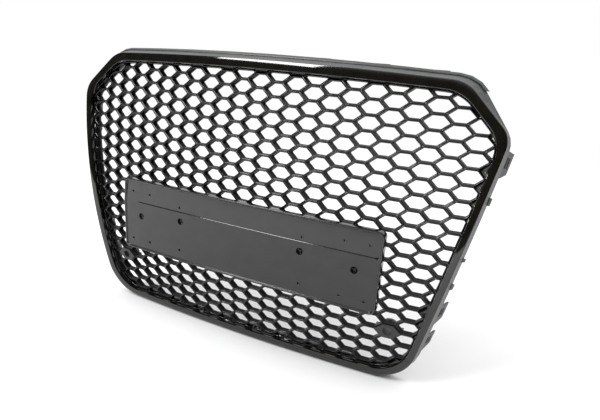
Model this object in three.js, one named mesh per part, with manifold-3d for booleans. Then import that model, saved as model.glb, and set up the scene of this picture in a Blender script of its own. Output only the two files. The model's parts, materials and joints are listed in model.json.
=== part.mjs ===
// The front grille of a car. A gloss face ring and a rear ring clamp a bowed honeycomb insert
// between them. A number plate base is screwed to the honeycomb, two parking sensor holders sit in
// its lower corners, and spring nuts, slotted brackets and screws stand round the rear ring.
//
// Millimetres. +X is to the right of a person in front of the car, the front faces -Y, +Z is up.
// The origin is in the middle of the honeycomb's depth, on its centre column of cells.

import * as THREE from 'three';
import { mergeVertices } from 'three/addons/utils/BufferGeometryUtils.js';
import Module from 'manifold-3d';

const wasm = await Module();
wasm.setup();

// ---- Driving dimensions ----------------------------------------------------------------------

// The whole grille is bowed: it lies further back by these times the squares of x and of z.
const BOW_X = 1.464e-4;
const BOW_Z = 5.274e-4;

// Honeycomb
const CELL_RUN = 32.6; // one column of cells to the next
const CELL_RISE = 24.8; // one cell to the one above it
const CELL_FLAT = 18.5; // level edge at the top and the bottom of a cell
const WEB = 4.3; // wall between two cells
const MESH_DEPTH = 13;
const COLUMN_FAN = 1.905e-4; // the columns spread by this share per mm of height
const ROW_ARCH = 1.952e-5; // the rows rise towards the ends by this times the square of x
const SMALLEST_CELL = 0.14; // a cell cut to less than this share of a whole one is left closed
const MESH_BORDER_IN = 3; // the rim of the insert reaches this far inside the face ring's opening
const MESH_BORDER_OUT = 1; // and this far under the face ring

// Right-hand corners of the six-cornered outlines, from the top down: x, z, corner radius
const FACE_OUTER = [[338.5, 251.5, 50], [411.2, 179, 37], [322.6, -248.5, 70]];
const FACE_INNER = [[333.4, 235.3, 60], [398.8, 169.9, 48], [313.2, -237.3, 66]];
const REAR_OUTER = [[349.6, 259.5, 52], [414.6, 172.6, 38], [326.3, -253, 72]];
const ARC_STEPS = [3, 3, 5, 5, 3, 3]; // round each corner, clockwise from the top right
const EDGE_STEPS = [1, 8, 8, 8, 1, 8]; // along the edge that follows each corner
const TOP_CROWN = 6.5; // rise of the top edge in the middle
const BOTTOM_CROWN = 1.5; // drop of the bottom edge in the middle
const SIDE_CROWN = 3; // bulge of the long sides
const SIDE_MIDDLE = -40; // height of the widest part of that bulge
const SIDE_HALF = 212; // half the length of the sides

// Depths of the rings, before the bow
const FACE_FRONT = -18.6;
const FACE_LIP = -15.6; // the front of the face ring's inner lip, set back from its outer edge
const RING_JOINT = -13; // where the face ring's outer wall meets the rear ring
const WALL = 2.5;
const GAP = 0.3; // between pieces that touch
const WEB_FRONT = 7; // front of the rear ring's flange, behind the honeycomb
const WEB_BACK = 10;
const SHELF_BACK = 45;
const SHELF_HALF_WIDTH = 305;
const LIP_RISE = 3.5; // seal lip along the top
const LIP_END_Z = 240; // the lip ends part of the way down the upper corners

// Number plate base
const PLATE_HALF_WIDTH = 264;
const PLATE_TOP = 14;
const PLATE_BOTTOM = -128.5;
const PLATE_CORNER = 10;
const PLATE_RIM_FRONT = -21;
const PLATE_FACE = -18.4;
const PLATE_THICK = 3;
const PLATE_BACK = -8.1;
const PLATE_BOW_X = 0.75e-4; // the base is bowed less than the honeycomb behind it
const PLATE_RIM = 3.4;
const CREASE_Z = -31; // the face bends back above this line
const CREASE_TILT = 1.8; // by this much at the top edge
const PLATE_FOOT_BOW = 7.85; // the bottom edge lies this much further back than the crease
const PLATE_COLUMNS = 13;
const PLATE_HOLES = [[243, -10.5], [201, -11.5], [127, -22], [244, -108.5], [201, -108.5], [127, -106.5]];
const PLATE_HOLE_RADIUS = 2.4;
const PLATE_HOLE_DEPTH = 2.2; // blind, for the plate's own screws
const PLATE_SCREWS = [[221.5, -58], [-221.5, -58], [124.5, -48], [-124.5, -48]];
const PLATE_RECESS = 6; // radius of the recess round a screw head
const PLATE_RECESS_DEPTH = 6.4;

// Backing panel of the honeycomb behind the plate base, with one slot per column
const PANEL_COLUMNS = 7;
const PANEL_ROWS = 4.5;
const SLOT_WIDTH = 6;
const SLOT_TOP_ROW = -0.6;
const SLOT_BOTTOM_ROW = -3.9;
const SCREW_PAD_BACK = 9; // flat pads under the plate base's nuts

// Sensor holders, each in place of one cell
const SENSOR_COLUMN = 9;
const SENSOR_ROW = -6.5;
const SENSOR_BORE = 7.8;
const SENSOR_TUBE = 11;
const SENSOR_STEP = 7.1; // where the plug in the cell becomes a round tube
const SENSOR_BACK = 18.5;

// Fixings
const SCREW_SHANK = 1.5;
const SCREW_HOLE = 1.85;
const BOSS_RADIUS = 2.9;
const BOSS_INSET = 6.5;
const PAD_BACK = 14;
const TRIM_SCREWS = [[1, 0.2], [1, 0.56], [2, 0.25], [2, 0.75], [3, 0.44], [3, 0.8],
  [5, 0.14], [5, 0.4], [5, 0.6], [5, 0.86]]; // edge and share of its length, clockwise
const TONGUES = [-292, -197, -94, 94, 197, 292];
const TONGUE_WIDTH = 22;
const TONGUE_HOLE_Y = 55;
const BRACKET_SHARES = [0.078, 0.685, 0.822]; // down the long sides
const BRACKET_LENGTHS = [42, 40, 36];
const BRACKET_SEAT = 10.7; // depth of the brackets' feet, behind the rear ring
const BRACKET_SHEET = 2.5;
const WING_OUT = 11; // the wings lean out by this
const WING_RUN = 22; // over this depth
const WING_SLOTS = [[5, 9.5], [12.5, 17]]; // distances up the wing
const HOOK_SHARES = [0.212, 0.437, 0.547];
const HOOK_LENGTHS = [12, 5, 9];

// ---- Materials -------------------------------------------------------------------------------

const material = (color, roughness, metalness = 0) =>
  new THREE.MeshStandardMaterial({ color, roughness, metalness });

const GLOSS_BLACK = material(0x0b0b0a, 0.12);
const MESH_BLACK = material(0x111112, 0.22);
const SATIN_BLACK = material(0x3a3b3c, 0.45);
const PLATE_BLACK = material(0x1c1c1c, 0.2);
const TEXTURED_BLACK = material(0x242424, 0.55);
const ZINC = material(0xa8a9a6, 0.35, 0.9);

// ---- Outlines --------------------------------------------------------------------------------

function bowAt(x, z) {
  return BOW_X * x * x + BOW_Z * z * z;
}

function crowned(point) {
  const acrossTop = Math.max(0, 1 - (point.x / FACE_OUTER[0][0]) ** 2);
  const alongSide = Math.max(0, 1 - ((point.y - SIDE_MIDDLE) / SIDE_HALF) ** 2);
  const crown = point.y > 0 ? TOP_CROWN : BOTTOM_CROWN;
  const rise = (crown * acrossTop * point.y) / FACE_OUTER[0][1];
  const bulge = SIDE_CROWN * alongSide * (point.x / FACE_OUTER[2][0]);
  return new THREE.Vector2(point.x + bulge, point.y + rise);
}

// The six corners, clockwise from the top right, moved inwards by a mitre.
function insetCorners(corners, inset) {
  const right = corners.map(([x, z, radius]) => ({ at: new THREE.Vector2(x, z), radius }));
  const left = corners.map(([x, z, radius]) => ({ at: new THREE.Vector2(-x, z), radius }));
  const loop = [...right, ...left.reverse()];
  const directions = loop.map((corner, i) =>
    loop[(i + 1) % loop.length].at.clone().sub(corner.at).normalize());
  return loop.map((corner, i) => {
    const before = directions.at(i - 1);
    const after = directions[i];
    const inBefore = new THREE.Vector2(before.y, -before.x);
    const inAfter = new THREE.Vector2(after.y, -after.x);
    const mitre = inBefore.clone().add(inAfter).multiplyScalar(inset / (1 + inBefore.dot(inAfter)));
    return {
      at: corner.at.clone().add(mitre),
      radius: Math.max(corner.radius - inset, 1),
      before,
      inBefore,
      after,
      turn: Math.acos(before.dot(after)),
    };
  });
}

// The rounded outline as a list of points in x and z.
function outline(corners, inset = 0) {
  const loop = insetCorners(corners, inset);
  const arcs = loop.map((corner, i) => {
    const reach = corner.radius * Math.tan(corner.turn / 2);
    const start = corner.at.clone().addScaledVector(corner.before, -reach);
    const centre = start.clone().addScaledVector(corner.inBefore, corner.radius);
    const steps = ARC_STEPS[i];
    return Array.from({ length: steps + 1 }, (_, k) =>
      start.clone().rotateAround(centre, (-corner.turn * k) / steps));
  });
  const points = [];
  arcs.forEach((arc, i) => {
    const last = arc.at(-1);
    const next = arcs[(i + 1) % arcs.length][0];
    const steps = EDGE_STEPS[i];
    points.push(...arc);
    for (let k = 1; k < steps; k += 1) {
      points.push(last.clone().lerp(next, k / steps));
    }
  });
  return points.map(crowned);
}

// A point on one edge of an outline, at a share of the way to the next corner.
function edgePoint(corners, inset, edge, share) {
  const loop = insetCorners(corners, inset);
  return crowned(loop[edge].at.clone().lerp(loop[(edge + 1) % loop.length].at, share));
}

// ---- Geometry helpers ------------------------------------------------------------------------

function moveVertices(geometry, move) {
  const position = geometry.attributes.position;
  const vertex = new THREE.Vector3();
  for (let i = 0; i < position.count; i += 1) {
    vertex.fromBufferAttribute(position, i);
    move(vertex);
    position.setXYZ(i, vertex.x, vertex.y, vertex.z);
  }
  return geometry;
}

function bowed(geometry) {
  return moveVertices(geometry, (vertex) => {
    vertex.y += bowAt(vertex.x, vertex.z);
  });
}

// A ring whose section visits the stations [corners, inset, y] and closes on itself.
function loft(stations) {
  const rings = stations.map(([corners, inset]) => outline(corners, inset));
  const count = rings[0].length;
  const positions = rings.flatMap((ring, r) => ring.flatMap((p) => [p.x, stations[r][2], p.y]));
  const index = [];
  for (let r = 0; r < rings.length; r += 1) {
    const here = r * count;
    const there = ((r + 1) % rings.length) * count;
    for (let k = 0; k < count; k += 1) {
      const next = (k + 1) % count;
      index.push(here + k, there + k, there + next);
      index.push(here + k, there + next, here + next);
    }
  }
  const geometry = new THREE.BufferGeometry();
  geometry.setAttribute('position', new THREE.Float32BufferAttribute(positions, 3));
  geometry.setIndex(index);
  return bowed(geometry);
}

// An outline in x and z, with holes, pushed from yFront to yBack.
function prism(points, yFront, yBack, holes = []) {
  const shape = new THREE.Shape(points);
  shape.holes = holes.map((hole) => new THREE.Path(hole));
  const geometry = new THREE.ExtrudeGeometry(shape, { depth: yBack - yFront, bevelEnabled: false });
  return geometry.rotateX(Math.PI / 2).translate(0, yBack, 0);
}

function rod(radius, yFront, yBack, x = 0, z = 0, sides = 12) {
  const geometry = new THREE.CylinderGeometry(radius, radius, yBack - yFront, sides);
  return geometry.translate(x, (yFront + yBack) / 2, z);
}

function box(xRange, yRange, zRange) {
  const size = [xRange, yRange, zRange].map(([low, high]) => high - low);
  const middle = [xRange, yRange, zRange].map(([low, high]) => (low + high) / 2);
  return new THREE.BoxGeometry(...size).translate(...middle);
}

function roundedRectangle(left, right, bottom, top, radius) {
  const shape = new THREE.Shape();
  shape.moveTo(left + radius, bottom);
  shape.lineTo(right - radius, bottom);
  shape.absarc(right - radius, bottom + radius, radius, -Math.PI / 2, 0);
  shape.absarc(right - radius, top - radius, radius, 0, Math.PI / 2);
  shape.absarc(left + radius, top - radius, radius, Math.PI / 2, Math.PI);
  shape.absarc(left + radius, bottom + radius, radius, Math.PI, Math.PI * 1.5);
  return mergedPoints(shape.getPoints(4));
}

function mergedPoints(points) {
  return points.filter((p, i) => p.distanceTo(points.at(i - 1)) > 0.01);
}

// ---- Booleans --------------------------------------------------------------------------------

function signedVolume(positions, index) {
  const a = new THREE.Vector3();
  const b = new THREE.Vector3();
  const c = new THREE.Vector3();
  let volume = 0;
  for (let i = 0; i < index.length; i += 3) {
    a.fromArray(positions, index[i] * 3);
    b.fromArray(positions, index[i + 1] * 3);
    c.fromArray(positions, index[i + 2] * 3);
    volume += a.dot(b.cross(c)) / 6;
  }
  return volume;
}

// The geometry with only its positions, and with its shared vertices merged.
function welded(geometry) {
  const bare = geometry.clone();
  bare.deleteAttribute('normal');
  bare.deleteAttribute('uv');
  return mergeVertices(bare, 1e-4);
}

// One round of swaps of the diagonals that neighbouring flat triangles share, by Delaunay's rule.
function swapDiagonals(index, corners) {
  const owners = new Map();
  const touched = new Set();
  const isFlat = (t) => [1, 2].every((k) => corners[index[t + k]].y === corners[index[t]].y);
  const angleAt = (tip, a, b) =>
    corners[a].clone().sub(corners[tip]).angleTo(corners[b].clone().sub(corners[tip]));
  for (let t = 0; t < index.length; t += 3) {
    for (let k = 0; k < 3 && isFlat(t) && !touched.has(t); k += 1) {
      const [a, b, tip] = [index[t + k], index[t + ((k + 1) % 3)], index[t + ((k + 2) % 3)]];
      const owner = owners.get(`${b} ${a}`);
      if (!owner) {
        owners.set(`${a} ${b}`, { t, tip });
      } else if (!touched.has(owner.t) && angleAt(tip, a, b) + angleAt(owner.tip, a, b) > Math.PI + 1e-6) {
        index.splice(t, 3, a, owner.tip, tip);
        index.splice(owner.t, 3, owner.tip, b, tip);
        touched.add(t).add(owner.t);
      }
    }
  }
  return touched.size > 0;
}

// A flat sheet whose triangles are as short as they can be, so that it bows evenly.
function evened(geometry) {
  const sheet = welded(geometry);
  const position = sheet.attributes.position;
  const corners = Array.from({ length: position.count }, (_, i) =>
    new THREE.Vector3().fromBufferAttribute(position, i));
  const index = [...sheet.index.array];
  while (swapDiagonals(index, corners));
  sheet.setIndex(index);
  return sheet;
}

// A closed solid from a geometry, with its faces turned outwards.
function solid(geometry) {
  const merged = welded(geometry);
  const vertProperties = new Float32Array(merged.attributes.position.array);
  const triVerts = new Uint32Array(merged.index.array);
  if (signedVolume(vertProperties, triVerts) < 0) {
    triVerts.reverse();
  }
  return new wasm.Manifold(new wasm.Mesh({ numProp: 3, vertProperties, triVerts }));
}

function joined(first, ...others) {
  return others.reduce((sum, other) => sum.add(other), first);
}

function cut(first, ...others) {
  return others.reduce((rest, other) => rest.subtract(other), first);
}

function piece(name, body, finish) {
  const { vertProperties, triVerts } = body.getMesh();
  const geometry = new THREE.BufferGeometry();
  geometry.setAttribute('position', new THREE.Float32BufferAttribute(vertProperties, 3));
  geometry.setIndex([...triVerts]);
  geometry.computeVertexNormals();
  const mesh = new THREE.Mesh(geometry, finish);
  mesh.name = name;
  return mesh;
}

// ---- Honeycomb -------------------------------------------------------------------------------

// A point of the flat pattern, moved to where the fanned columns and arched rows put it.
function patternPoint(run, level) {
  return new THREE.Vector2(run * (1 + COLUMN_FAN * level), level + ROW_ARCH * run * run);
}

function cellCentre(column, row) {
  return patternPoint(column * CELL_RUN, row * CELL_RISE);
}

// The six corners of a cell, its walls moved in by inset, anticlockwise.
function cellCorners(column, row, inset) {
  const slantRun = CELL_RUN - CELL_FLAT;
  const halfRise = CELL_RISE / 2;
  const slantLength = Math.hypot(slantRun, halfRise);
  const tip = CELL_FLAT / 2 + slantRun - (inset * slantLength) / halfRise;
  const top = halfRise - inset;
  const shoulder = tip - (top * slantRun) / halfRise;
  const corners = [[tip, 0], [shoulder, top], [-shoulder, top], [-tip, 0], [-shoulder, -top], [shoulder, -top]];
  return corners.map(([x, z]) => patternPoint(column * CELL_RUN + x, row * CELL_RISE + z));
}

// The part of a convex cell inside a convex outline that runs clockwise.
function clipped(cell, border) {
  let kept = cell;
  border.forEach((from, i) => {
    const to = border[(i + 1) % border.length];
    const along = to.clone().sub(from);
    const depth = (p) => -along.cross(p.clone().sub(from)) / along.length();
    const inside = [];
    kept.forEach((p, k) => {
      const next = kept[(k + 1) % kept.length];
      const here = depth(p);
      const there = depth(next);
      if (here >= 0) {
        inside.push(p);
      }
      if (here * there < 0) {
        inside.push(p.clone().lerp(next, here / (here - there)));
      }
    });
    kept = inside;
  });
  return mergedPoints(kept);
}

function behindPlate(column, row) {
  return Math.abs(column) <= PANEL_COLUMNS && row <= 0 && row >= -PANEL_ROWS;
}

function honeycombOpenings() {
  const border = outline(FACE_INNER, MESH_BORDER_IN);
  const wholeArea = THREE.ShapeUtils.area(cellCorners(0, 0, WEB / 2));
  const openings = [];
  for (let column = -13; column <= 13; column += 1) {
    for (let row = -10 - Math.abs(column % 2) / 2; row <= 10.5; row += 1) {
      const cell = clipped(cellCorners(column, row, WEB / 2), border);
      const large = cell.length > 2 && THREE.ShapeUtils.area(cell) > SMALLEST_CELL * wholeArea;
      if (large && !behindPlate(column, row)) {
        openings.push(cell);
      }
    }
  }
  for (let column = -PANEL_COLUMNS; column <= PANEL_COLUMNS; column += 1) {
    const top = cellCentre(column, SLOT_TOP_ROW);
    const bottom = cellCentre(column, SLOT_BOTTOM_ROW);
    const half = SLOT_WIDTH / 2;
    openings.push([
      new THREE.Vector2(bottom.x, bottom.y - half),
      new THREE.Vector2(bottom.x + half, bottom.y),
      new THREE.Vector2(top.x + half, top.y),
      new THREE.Vector2(top.x, top.y + half),
      new THREE.Vector2(top.x - half, top.y),
      new THREE.Vector2(bottom.x - half, bottom.y),
    ]);
  }
  return openings;
}

function honeycombMesh() {
  const half = MESH_DEPTH / 2;
  const sheet = prism(outline(FACE_INNER, -MESH_BORDER_OUT), -half, half, honeycombOpenings());
  const screwPads = PLATE_SCREWS.map(([x, z]) =>
    solid(rod(6, half - 2 + bowAt(x, z), SCREW_PAD_BACK + bowAt(x, z), x, z, 10)));
  const holes = PLATE_SCREWS.map(([x, z]) =>
    solid(rod(2.4, -20 + bowAt(x, z), 20 + bowAt(x, z), x, z, 8)));
  const body = joined(solid(bowed(evened(sheet))), ...screwPads);
  return piece('honeycomb_mesh', cut(body, ...holes), MESH_BLACK);
}

// ---- Rings -----------------------------------------------------------------------------------

const trimScrewSites = TRIM_SCREWS.map(([edge, share]) =>
  edgePoint(FACE_OUTER, BOSS_INSET, edge, share));

// A channel open to the back: outer wall, bevelled face, rounded lip and inner wall, with bosses.
function surroundTrim() {
  const channel = solid(loft([
    [FACE_OUTER, 0, RING_JOINT],
    [FACE_OUTER, 0, FACE_FRONT + 2],
    [FACE_OUTER, 0.6, FACE_FRONT + 0.6],
    [FACE_OUTER, 2, FACE_FRONT],
    [FACE_INNER, -1.5, FACE_LIP - 0.4],
    [FACE_INNER, -0.4, FACE_LIP],
    [FACE_INNER, 0, FACE_LIP + 1],
    [FACE_INNER, 0, -MESH_DEPTH / 2 - 0.5],
    [FACE_INNER, -WALL, -MESH_DEPTH / 2 - 0.5],
    [FACE_INNER, -WALL, FACE_LIP + WALL],
    [FACE_OUTER, WALL, FACE_FRONT + WALL],
    [FACE_OUTER, WALL, RING_JOINT],
  ]));
  const bosses = trimScrewSites.map(({ x, y: z }) => {
    const bow = bowAt(x, z);
    return solid(rod(BOSS_RADIUS, FACE_LIP - 0.4 + bow, WEB_FRONT - 2.4 + bow, x, z, 10));
  });
  const pilots = trimScrewSites.map(({ x, y: z }) => {
    const bow = bowAt(x, z);
    return solid(rod(SCREW_HOLE, -5 + bow, WEB_FRONT + bow, x, z, 8));
  });
  return piece('surround_trim', cut(joined(channel, ...bosses), ...pilots), GLOSS_BLACK);
}

// The part of a ring above a height.
function topOf(ring, fromZ, halfWidth = 500) {
  return ring.intersect(solid(box([-halfWidth, halfWidth], [-50, 200], [fromZ, 300])));
}

function tongue(x) {
  const top = edgePoint(REAR_OUTER, 0, 5, 0.5 + x / (2 * REAR_OUTER[0][0])).y;
  const section = [[30, -2], [44, -2], [44, 3.4], [64, 3.4], [64, 6], [33, 6], [30, 3]];
  const shape = new THREE.Shape(section.map(([y, z]) => new THREE.Vector2(y, z)));
  const bar = new THREE.ExtrudeGeometry(shape, { depth: TONGUE_WIDTH, bevelEnabled: false });
  const toFrame = new THREE.Matrix4().set(
    0, 0, 1, x - TONGUE_WIDTH / 2,
    1, 0, 0, bowAt(x, top),
    0, 1, 0, top,
    0, 0, 0, 1,
  );
  const hole = rod(3.2, -5, 5, 0, 0, 10).rotateX(Math.PI / 2);
  hole.translate(x, TONGUE_HOLE_Y + bowAt(x, top), top + 4.7);
  return { bar: solid(bar.applyMatrix4(toFrame)), hole: solid(hole), top };
}

// Axes at a point of the rear ring's long sides: along the edge, backwards, outwards.
function sideFrame(edge, share) {
  const lift = (p) => new THREE.Vector3(p.x, bowAt(p.x, p.y), p.y);
  const here = lift(edgePoint(REAR_OUTER, 0, edge, share));
  const along = lift(edgePoint(REAR_OUTER, 0, edge, share + 0.02)).sub(here).normalize();
  const out = here.clone().sub(lift(edgePoint(REAR_OUTER, 10, edge, share)));
  out.addScaledVector(along, -out.dot(along)).normalize();
  const back = new THREE.Vector3().crossVectors(out, along);
  if (back.y < 0) {
    back.negate();
    along.negate();
  }
  return new THREE.Matrix4().makeBasis(along, back, out).setPosition(here);
}

// A section in outward and backward distances, pushed along the edge by length.
function sideBar(section, length) {
  const shape = new THREE.Shape(section.map(([out, back]) => new THREE.Vector2(out, back)));
  const bar = new THREE.ExtrudeGeometry(shape, { depth: length, bevelEnabled: false });
  const toSide = new THREE.Matrix4().set(
    0, 0, 1, -length / 2,
    0, 1, 0, 0,
    1, 0, 0, 0,
    0, 0, 0, 1,
  );
  return bar.applyMatrix4(toSide);
}

const SIDES = [{ name: 'right', edge: 1, mirror: 1 }, { name: 'left', edge: 3, mirror: -1 }];

// The share down a side counts from its top corner, and edge 3 runs up the left side.
function downSide(side, share) {
  return sideFrame(side.edge, side.mirror > 0 ? share : 1 - share);
}

function carrierFrame() {
  const ring = solid(loft([
    [FACE_OUTER, 0, RING_JOINT + GAP],
    [REAR_OUTER, 0, WEB_FRONT],
    [REAR_OUTER, 0, WEB_BACK],
    [FACE_INNER, MESH_BORDER_IN, WEB_BACK],
    [FACE_INNER, MESH_BORDER_IN, WEB_FRONT],
    [REAR_OUTER, WALL, WEB_FRONT],
    [FACE_OUTER, WALL, RING_JOINT + GAP],
  ]));
  const lip = solid(loft([
    [REAR_OUTER, -0.5, 3],
    [REAR_OUTER, -LIP_RISE, 6],
    [REAR_OUTER, -LIP_RISE, WEB_BACK],
    [REAR_OUTER, 1, WEB_BACK],
    [REAR_OUTER, 1, 3],
  ]));
  const shelf = solid(loft([
    [REAR_OUTER, 0, WEB_BACK - 1],
    [REAR_OUTER, 0, SHELF_BACK],
    [REAR_OUTER, WALL, SHELF_BACK],
    [REAR_OUTER, WALL, WEB_BACK - 1],
  ]));
  const pads = trimScrewSites.map(({ x, y: z }) => {
    const bow = bowAt(x, z);
    return solid(rod(5, WEB_BACK - 1.5 + bow, PAD_BACK + bow, x, z, 10));
  });
  const tongues = TONGUES.map(tongue);
  const hooks = SIDES.flatMap((side) => HOOK_SHARES.map((share, i) =>
    solid(sideBar([[-2, 2], [0, 2], [4, 7], [4, 9], [-2, 9]], HOOK_LENGTHS[i])
      .applyMatrix4(downSide(side, share)))));
  const body = joined(
    ring,
    topOf(lip, LIP_END_Z),
    topOf(shelf, 200, SHELF_HALF_WIDTH),
    ...pads,
    ...tongues.map(({ bar }) => bar),
    ...hooks,
  );
  const screwHoles = trimScrewSites.map(({ x, y: z }) =>
    solid(rod(SCREW_HOLE, bowAt(x, z), 20 + bowAt(x, z), x, z, 8)));
  const bracketHoles = SIDES.flatMap((side) => BRACKET_SHARES.map((share) =>
    solid(rod(SCREW_HOLE, 0, 20, 0, 0, 8).translate(0, 0, -9).applyMatrix4(downSide(side, share)))));
  const tongueHoles = tongues.map(({ hole }) => hole);
  return piece('carrier_frame', cut(body, ...screwHoles, ...bracketHoles, ...tongueHoles), SATIN_BLACK);
}

// ---- Number plate base -----------------------------------------------------------------------

// How far back the plate base lies at a height: a straight lower part, a bent upper band.
function plateBow(z, tilt) {
  const below = Math.max(0, (CREASE_Z - z) / (CREASE_Z - PLATE_BOTTOM));
  const above = Math.max(0, (z - CREASE_Z) / (PLATE_TOP - CREASE_Z));
  return PLATE_FOOT_BOW * below + tilt * above;
}

// A slab across the plate base, bowed in x, with its own tilts above the crease.
function plateSlab(front, back, frontTilt, backTilt, backBow = PLATE_BOW_X) {
  const slab = new THREE.BoxGeometry(2, 2, 2, PLATE_COLUMNS, 1, 2);
  return moveVertices(slab, (vertex) => {
    const isFront = vertex.y < 0;
    const levels = [PLATE_BOTTOM - 20, CREASE_Z, PLATE_TOP + 20];
    vertex.x *= PLATE_HALF_WIDTH + 10;
    vertex.z = levels[Math.round(vertex.z) + 1];
    vertex.y = (isFront ? front : back) + plateBow(vertex.z, isFront ? frontTilt : backTilt);
    vertex.y += (isFront ? PLATE_BOW_X : backBow) * vertex.x ** 2;
  });
}

function plateOutline(inset) {
  return roundedRectangle(
    -PLATE_HALF_WIDTH + inset,
    PLATE_HALF_WIDTH - inset,
    PLATE_BOTTOM + inset,
    PLATE_TOP - inset,
    PLATE_CORNER - inset / 2,
  );
}

// Depth of the base's face at a point of it.
function plateFaceAt(x, z) {
  return PLATE_FACE + plateBow(z, CREASE_TILT) + PLATE_BOW_X * x * x;
}

// Depth of the floor under a screw head.
function screwSeat(x, z) {
  return plateFaceAt(x, z) + PLATE_RECESS_DEPTH;
}

function plateBase() {
  const rimTilt = CREASE_TILT / 3;
  const whole = solid(plateSlab(PLATE_RIM_FRONT, PLATE_BACK, rimTilt, 0, BOW_X))
    .intersect(solid(prism(plateOutline(0), -60, 60)));
  const pocket = solid(plateSlab(-50, PLATE_FACE, 0, CREASE_TILT))
    .intersect(solid(prism(plateOutline(PLATE_RIM), -60, 60)));
  const hollow = solid(plateSlab(PLATE_FACE + PLATE_THICK, 40, CREASE_TILT, 0))
    .intersect(solid(prism(plateOutline(WALL), -60, 60)));
  const posts = PLATE_SCREWS.map(([x, z]) =>
    solid(rod(8.5, screwSeat(x, z) - PLATE_RECESS_DEPTH + 1, PLATE_BACK + bowAt(x, z), x, z, 12)));
  const recesses = PLATE_SCREWS.flatMap(([x, z]) =>
    [solid(rod(PLATE_RECESS, -40, screwSeat(x, z), x, z, 14)), solid(rod(2.4, -40, 30, x, z, 8))]);
  const holes = PLATE_HOLES.flatMap(([x, z]) =>
    [x, -x].map((at) => solid(rod(PLATE_HOLE_RADIUS, -50, plateFaceAt(x, z) + PLATE_HOLE_DEPTH, at, z, 8))));
  const body = joined(cut(whole, pocket, hollow), ...posts);
  return piece('plate_base', cut(body, ...recesses, ...holes), PLATE_BLACK);
}

// ---- Sensor holders --------------------------------------------------------------------------

function sensorHolder(side) {
  const column = SENSOR_COLUMN * side.mirror;
  const centre = cellCentre(column, SENSOR_ROW);
  const front = -MESH_DEPTH / 2 - 2 * GAP;
  const bezelOutline = cellCorners(column, SENSOR_ROW, 0.1);
  const plugOutline = cellCorners(column, SENSOR_ROW, WEB / 2 + 0.4);
  const bezel = solid(bowed(prism(bezelOutline, front - 2.2, front)));
  const plug = solid(bowed(prism(plugOutline, front - 0.5, SENSOR_STEP + 0.6)));
  const tube = solid(bowed(rod(SENSOR_TUBE, SENSOR_STEP, SENSOR_BACK, centre.x, centre.y, 16)));
  const bore = solid(rod(SENSOR_BORE, -40, 90, centre.x, centre.y, 16));
  return piece(`sensor_holder_${side.name}`, cut(joined(bezel, plug, tube), bore), TEXTURED_BLACK);
}

function sensorCollar(side) {
  const centre = cellCentre(SENSOR_COLUMN * side.mirror, SENSOR_ROW);
  const front = SENSOR_STEP + 1;
  const ring = solid(bowed(rod(16, front, front + 6, centre.x, centre.y, 16)));
  const lug = solid(bowed(box(
    [centre.x - 23, centre.x + 23],
    [front, front + 4],
    [centre.y - 4, centre.y + 4],
  )));
  const bore = solid(rod(SENSOR_TUBE + 0.5, -40, 90, centre.x, centre.y, 16));
  return piece(`sensor_collar_${side.name}`, cut(joined(ring, lug), bore), TEXTURED_BLACK);
}

// ---- Fixings ---------------------------------------------------------------------------------

// A pan head screw with its head towards +Y and its seat at y = 0.
function screwGeometry(headRadius, headHeight, shankRadius, length, sides = 10) {
  const profile = [
    [0, -length],
    [shankRadius * 0.6, -length],
    [shankRadius, -length + shankRadius * 1.5],
    [shankRadius, 0],
    [headRadius, 0],
    [headRadius, headHeight * 0.5],
    [headRadius * 0.6, headHeight],
    [0, headHeight],
  ];
  return new THREE.LatheGeometry(profile.map(([r, y]) => new THREE.Vector2(r, y)), sides);
}

function trimScrews() {
  return trimScrewSites.map(({ x, y: z }, i) => {
    const screw = piece(`trim_screw_${i + 1}`, solid(screwGeometry(3.6, 2.6, SCREW_SHANK, 15, 8)), ZINC);
    screw.position.set(x, PAD_BACK + GAP + bowAt(x, z), z);
    return screw;
  });
}

function plateScrews() {
  return PLATE_SCREWS.flatMap(([x, z], i) => {
    const bow = bowAt(x, z);
    const slot = solid(box([-2.6, 2.6], [1.4, 4], [-0.5, 0.5]));
    const cross = solid(box([-0.5, 0.5], [1.4, 4], [-2.6, 2.6]));
    const body = cut(solid(screwGeometry(4.2, 2.8, 2, 30, 12)), slot, cross);
    const screw = piece(`plate_screw_${i + 1}`, body, ZINC);
    screw.rotation.x = Math.PI;
    screw.position.set(x, screwSeat(x, z) - GAP, z);
    const nutBody = cut(solid(rod(4.2, 0, 3.4, 0, 0, 6)), solid(rod(2.35, -1, 6, 0, 0, 8)));
    const nut = piece(`plate_nut_${i + 1}`, nutBody, ZINC);
    nut.position.set(x, SCREW_PAD_BACK + GAP + bow, z);
    return [screw, nut];
  });
}

// A sheet metal nut that slips over a tongue, with its thread below.
function springNuts() {
  return TONGUES.map((x, i) => {
    const { top } = tongue(x);
    const sheet = 1;
    const low = 3.4 - GAP;
    const high = 6 + GAP;
    const back = 64 + GAP;
    const outer = solid(box([-7, 7], [48, back + sheet], [low - sheet, high + sheet]));
    const inner = solid(box([-10, 10], [40, back], [low, high]));
    const barrel = rod(3.6, -2, 2, 0, 0, 8).rotateX(Math.PI / 2).translate(0, TONGUE_HOLE_Y, low - sheet - 1.8);
    const thread = rod(2.4, -20, 20, 0, 0, 8).rotateX(Math.PI / 2).translate(0, TONGUE_HOLE_Y, low);
    const body = cut(joined(cut(outer, inner), solid(barrel)), solid(thread));
    const nut = piece(`top_spring_nut_${i + 1}`, body, ZINC);
    nut.position.set(x, bowAt(x, top), top);
    return nut;
  });
}

// The wing's face leaves the foot here and leans out by WING_OUT over WING_RUN.
function wingPoint(alongWing, offFace) {
  const length = Math.hypot(WING_OUT, WING_RUN);
  const lean = new THREE.Vector2(WING_OUT, WING_RUN).divideScalar(length);
  return [lean.x * alongWing + lean.y * offFace, BRACKET_SEAT + lean.y * alongWing - lean.x * offFace];
}

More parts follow.
